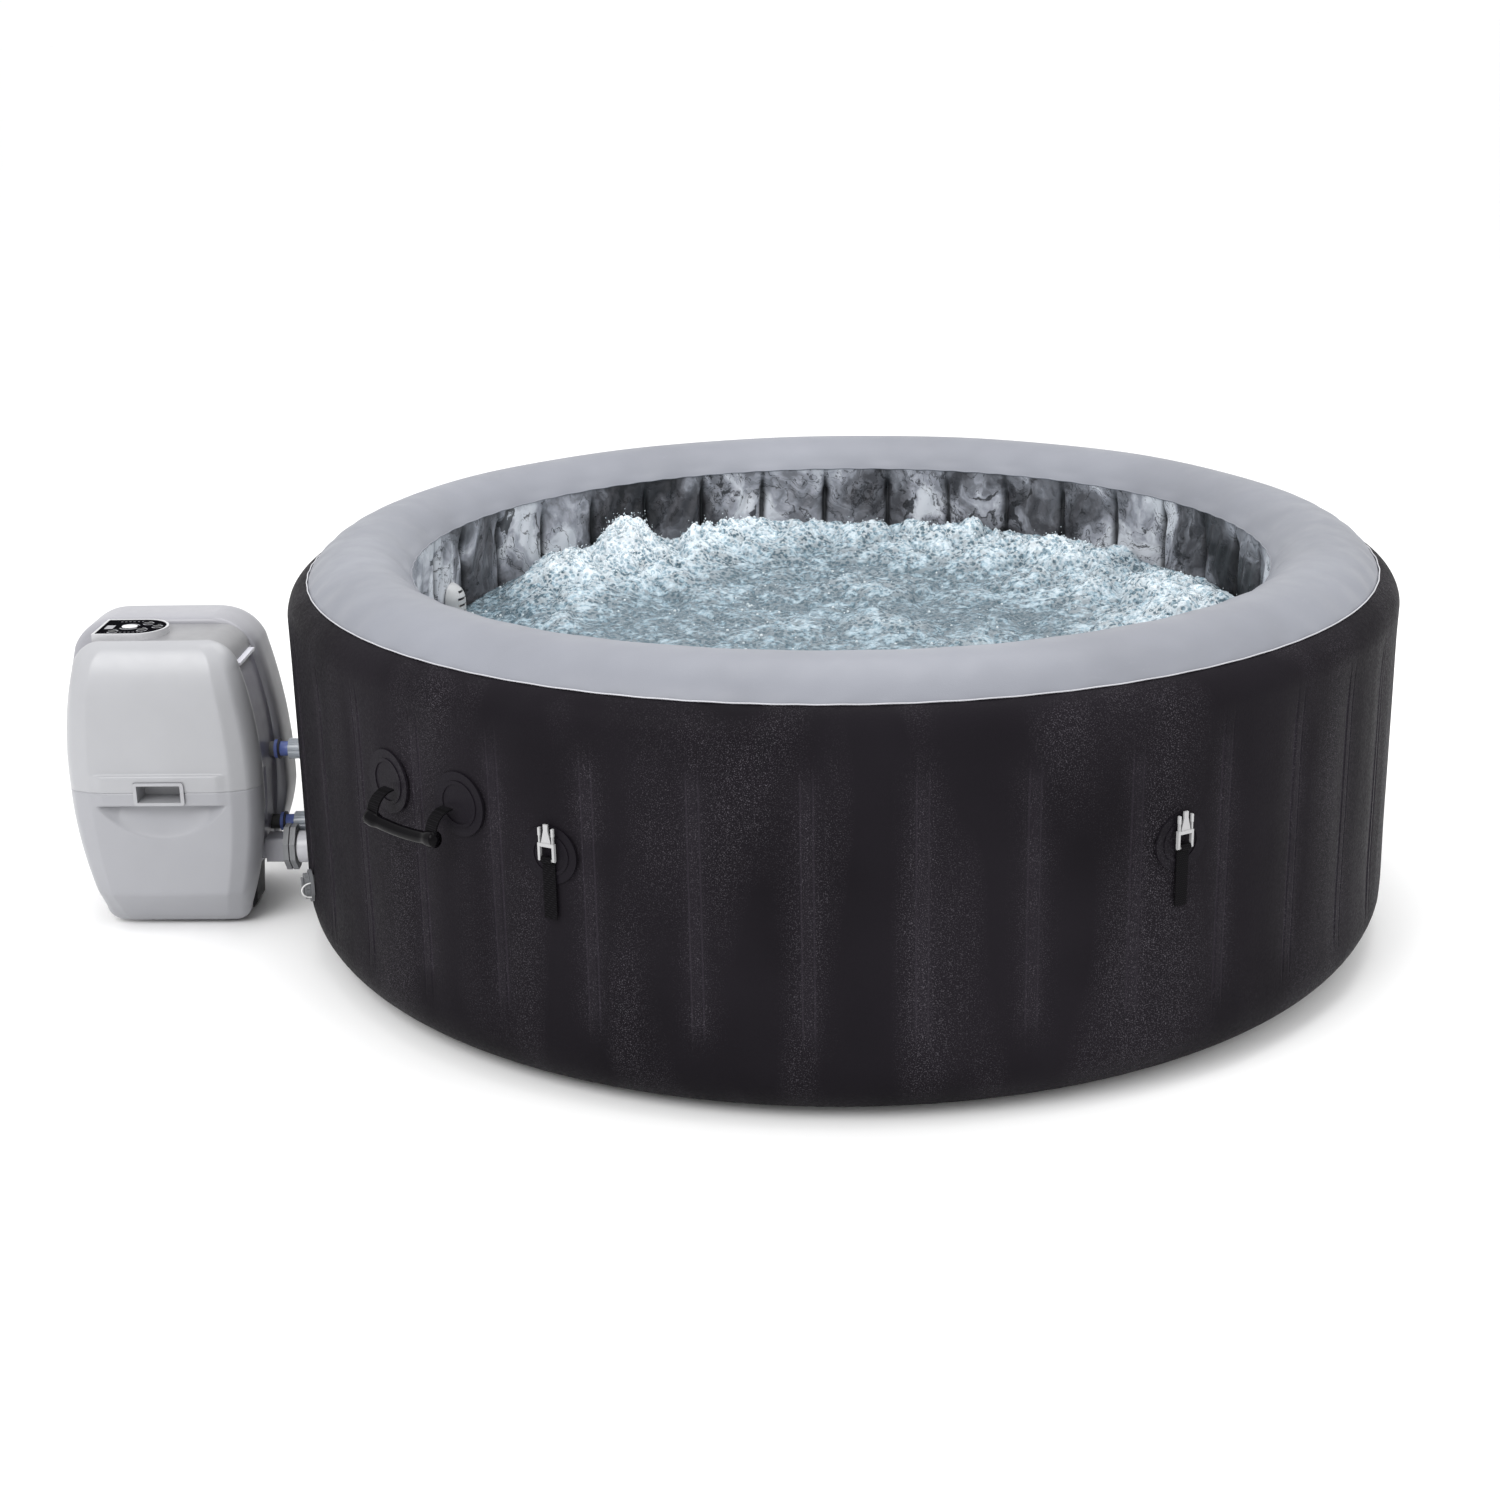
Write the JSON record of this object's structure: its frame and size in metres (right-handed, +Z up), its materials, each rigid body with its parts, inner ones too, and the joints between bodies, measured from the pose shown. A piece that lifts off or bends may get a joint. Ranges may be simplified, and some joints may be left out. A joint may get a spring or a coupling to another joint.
{
  "type": "inflatable hot tub",
  "caption": "Round inflatable hot tub with welded wall panels, carry handles, safety clips, drain valve and a linked pump, filter and heater unit with a control panel.",
  "frame": {"origin": "centre of the tub base, on the floor", "axes": "+Z up, -Y is the front of the tub, the pump unit stands on the -X side"},
  "size_m": [2.2368, 1.7998, 0.6438],
  "materials": {
    "wall_black": "laminated PVC with a fine leather grain, satin",
    "patch_black": "moulded PVC patch, satin",
    "base_grey": "PVC sheet, matte",
    "beam_grey": "PVC sheet, satin",
    "rim_grey": "smooth PVC, satin",
    "seam_pale": "welded PVC edge, glossy",
    "liner_marbled": "printed PVC liner with a marbled grey pattern",
    "channel_grey": "PVC, satin",
    "handle_black": "moulded grip on webbing straps",
    "webbing_black": "woven webbing",
    "clip_grey": "moulded nylon",
    "valve_grey": "moulded, satin",
    "tether_white": "moulded, satin",
    "port_grey": "moulded, satin",
    "nut_grey": "moulded, satin",
    "clear_blue": "clear tinted, glossy",
    "hose_grey": "flexible hose, matte",
    "duct_grey": "moulded, satin",
    "clamp_grey": "moulded, satin",
    "port_white": "moulded, satin",
    "flap_black": "soft moulded flap",
    "filter_white": "moulded, satin",
    "cartridge_white": "pleated filter paper",
    "pump_grey": "moulded, satin",
    "pump_white": "moulded, satin",
    "pump_back_grey": "moulded, satin",
    "deck_grey": "moulded, satin",
    "frame_grey": "moulded, satin",
    "base_black": "moulded, matte",
    "screw_steel": "plated",
    "bezel_white": "moulded, satin",
    "panel_black": "glossy panel",
    "key_white": "glossy key",
    "key_grey": "glossy key",
    "inner_black": "moulded, matte",
    "motor_grey": "painted",
    "heater_steel": "brushed",
    "box_white": "moulded, matte"
  },
  "bodies": {
    "tub": {"air_clamp": "clamp_grey", "air_duct": "duct_grey", "air_jet_channel": "channel_grey", "air_port_fitting": "port_white", "base_sheet": "base_grey", "blower_housing": "inner_black", "blower_motor": "motor_grey", "buckle_straps": "webbing_black", "circulation_motor": "motor_grey", "circulation_volute": "inner_black", "clear_couplings": "clear_blue", "console_deck": "deck_grey", "control_box": "box_white", "drain_tether": "tether_white", "drain_valve_body": "valve_grey", "filter_cartridge": "cartridge_white", "filter_hose": "hose_grey", "floor_liner": "liner_marbled", "grip_frame": "pump_white", "heater_tube": "heater_steel", "i_beams": "beam_grey", "inflation_valve_body": "valve_grey", "inner_wall": "liner_marbled", "outer_wall": "wall_black", "outlet_elbow": "hose_grey", "panel_bezel": "bezel_white", "panel_lens": "panel_black", "pump_back_cover": "pump_back_grey", "pump_base": "base_black", "pump_front_lower": "pump_grey", "pump_front_upper": "pump_grey", "pump_side_frame": "frame_grey", "rim_skin": "rim_grey", "rubber_grommets": "base_black", "screws": "screw_steel", "seam_beads": "seam_pale", "wall_patches": "patch_black", "water_port_flanges": "port_grey"},
    "air_check_flap": {"air_check_flap": "flap_black"},
    "blower_wheel": {"blower_wheel": "inner_black"},
    "buckle_clip_1": {"buckle_clip_1": "clip_grey"},
    "buckle_clip_2": {"buckle_clip_2": "clip_grey"},
    "buckle_clip_3": {"buckle_clip_3": "clip_grey"},
    "buckle_clip_4": {"buckle_clip_4": "clip_grey"},
    "buckle_clip_5": {"buckle_clip_5": "clip_grey"},
    "circulation_impeller": {"circulation_impeller": "inner_black"},
    "coupling_nut_lower": {"coupling_nut_lower": "nut_grey"},
    "coupling_nut_upper": {"coupling_nut_upper": "nut_grey"},
    "drain_cap": {"drain_cap": "valve_grey"},
    "drain_plug": {"drain_plug": "valve_grey"},
    "filter_cover": {"filter_cover": "filter_white"},
    "handle_1": {"handle_1": "handle_black"},
    "handle_2": {"handle_2": "handle_black"},
    "inflation_valve_cap": {"inflation_valve_cap": "valve_grey"},
    "key_1": {"key_1": "key_grey"},
    "key_2": {"key_2": "key_grey"},
    "key_3": {"key_3": "key_grey"},
    "key_4": {"key_4": "key_grey"},
    "key_centre": {"key_centre": "key_white"},
    "return_grille": {"return_grille": "filter_white"}
  },
  "joints": [
    {"name": "filter_cover_pull", "type": "slide", "parent": "tub", "child": "filter_cover", "axis": [0.9681, -0.2504, 0], "range_m": [0, 0.07]},
    {"name": "return_grille_twist", "type": "hinge", "parent": "tub", "child": "return_grille", "pos_m": [-0.69, -0.048, 0.146], "axis": [1, 0, 0], "range_deg": [0, 90]},
    {"name": "handle_1_lift", "type": "hinge", "parent": "tub", "child": "handle_1", "pos_m": [-0.59233, -0.68622, 0.4105], "axis": [-0.757, 0.6534, 0], "range_deg": [-15, 95]},
    {"name": "handle_2_lift", "type": "hinge", "parent": "tub", "child": "handle_2", "pos_m": [0.70149, 0.57416, 0.4105], "axis": [0.6334, -0.7738, 0], "range_deg": [-15, 95]},
    {"name": "buckle_clip_1_turn", "type": "hinge", "parent": "tub", "child": "buckle_clip_1", "pos_m": [-0.39749, -0.8186, 0.367], "axis": [0.8996, -0.4368, 0], "range_deg": [0, 100]},
    {"name": "buckle_clip_2_turn", "type": "hinge", "parent": "tub", "child": "buckle_clip_2", "pos_m": [0.46596, -0.78165, 0.367], "axis": [0.859, 0.512, 0], "range_deg": [0, 100]},
    {"name": "buckle_clip_3_turn", "type": "hinge", "parent": "tub", "child": "buckle_clip_3", "pos_m": [0.90913, -0.03969, 0.367], "axis": [0.0436, 0.999, 0], "range_deg": [0, 100]},
    {"name": "buckle_clip_4_turn", "type": "hinge", "parent": "tub", "child": "buckle_clip_4", "pos_m": [0.53231, 0.73807, 0.367], "axis": [-0.8111, 0.585, 0], "range_deg": [0, 100]},
    {"name": "buckle_clip_5_turn", "type": "hinge", "parent": "tub", "child": "buckle_clip_5", "pos_m": [-0.32463, 0.85013, 0.367], "axis": [-0.9342, -0.3567, 0], "range_deg": [0, 100]},
    {"name": "drain_cap_unscrew", "type": "hinge", "parent": "tub", "child": "drain_cap", "pos_m": [-0.85969, -0.30443, 0.128], "axis": [-0.9426, -0.3338, 0], "range_deg": [0, 180]},
    {"name": "drain_plug_pull", "type": "slide", "parent": "tub", "child": "drain_plug", "axis": [0.9426, 0.3338, 0], "range_m": [0, 0.03]},
    {"name": "valve_cap_unscrew", "type": "hinge", "parent": "tub", "child": "inflation_valve_cap", "pos_m": [-0.8266, 0.38057, 0.4], "axis": [-0.9084, 0.4182, 0], "range_deg": [0, 180]},
    {"name": "air_flap_swing", "type": "hinge", "parent": "tub", "child": "air_check_flap", "pos_m": [-0.9105, -0.088, 0.1315], "axis": [0, -1, 0], "range_deg": [0, 70]},
    {"name": "coupling_nut_upper_turn", "type": "hinge", "parent": "tub", "child": "coupling_nut_upper", "pos_m": [-0.92, -0.048, 0.277], "axis": [1, 0, 0], "range_deg": [0, 360]},
    {"name": "coupling_nut_lower_turn", "type": "hinge", "parent": "tub", "child": "coupling_nut_lower", "pos_m": [-0.92, -0.048, 0.146], "axis": [1, 0, 0], "range_deg": [0, 360]},
    {"name": "key_centre_press", "type": "slide", "parent": "tub", "child": "key_centre", "axis": [0, 0, -1], "range_m": [0, 0.001], "stiffness_N_per_m": 600, "springref_m": -0.0003},
    {"name": "key_1_press", "type": "slide", "parent": "tub", "child": "key_1", "axis": [0, 0, -1], "range_m": [0, 0.001], "stiffness_N_per_m": 600, "springref_m": -0.0003},
    {"name": "key_2_press", "type": "slide", "parent": "tub", "child": "key_2", "axis": [0, 0, -1], "range_m": [0, 0.001], "stiffness_N_per_m": 600, "springref_m": -0.0003},
    {"name": "key_3_press", "type": "slide", "parent": "tub", "child": "key_3", "axis": [0, 0, -1], "range_m": [0, 0.001], "stiffness_N_per_m": 600, "springref_m": -0.0003},
    {"name": "key_4_press", "type": "slide", "parent": "tub", "child": "key_4", "axis": [0, 0, -1], "range_m": [0, 0.001], "stiffness_N_per_m": 600, "springref_m": -0.0003},
    {"name": "blower_wheel_spin", "type": "hinge", "parent": "tub", "child": "blower_wheel", "pos_m": [-1.069, -0.1, 0.345], "axis": [0, 1, 0], "continuous": true},
    {"name": "circulation_impeller_spin", "type": "hinge", "parent": "tub", "child": "circulation_impeller", "pos_m": [-1.066, -0.048, 0.146], "axis": [1, 0, 0], "continuous": true}
  ]
}
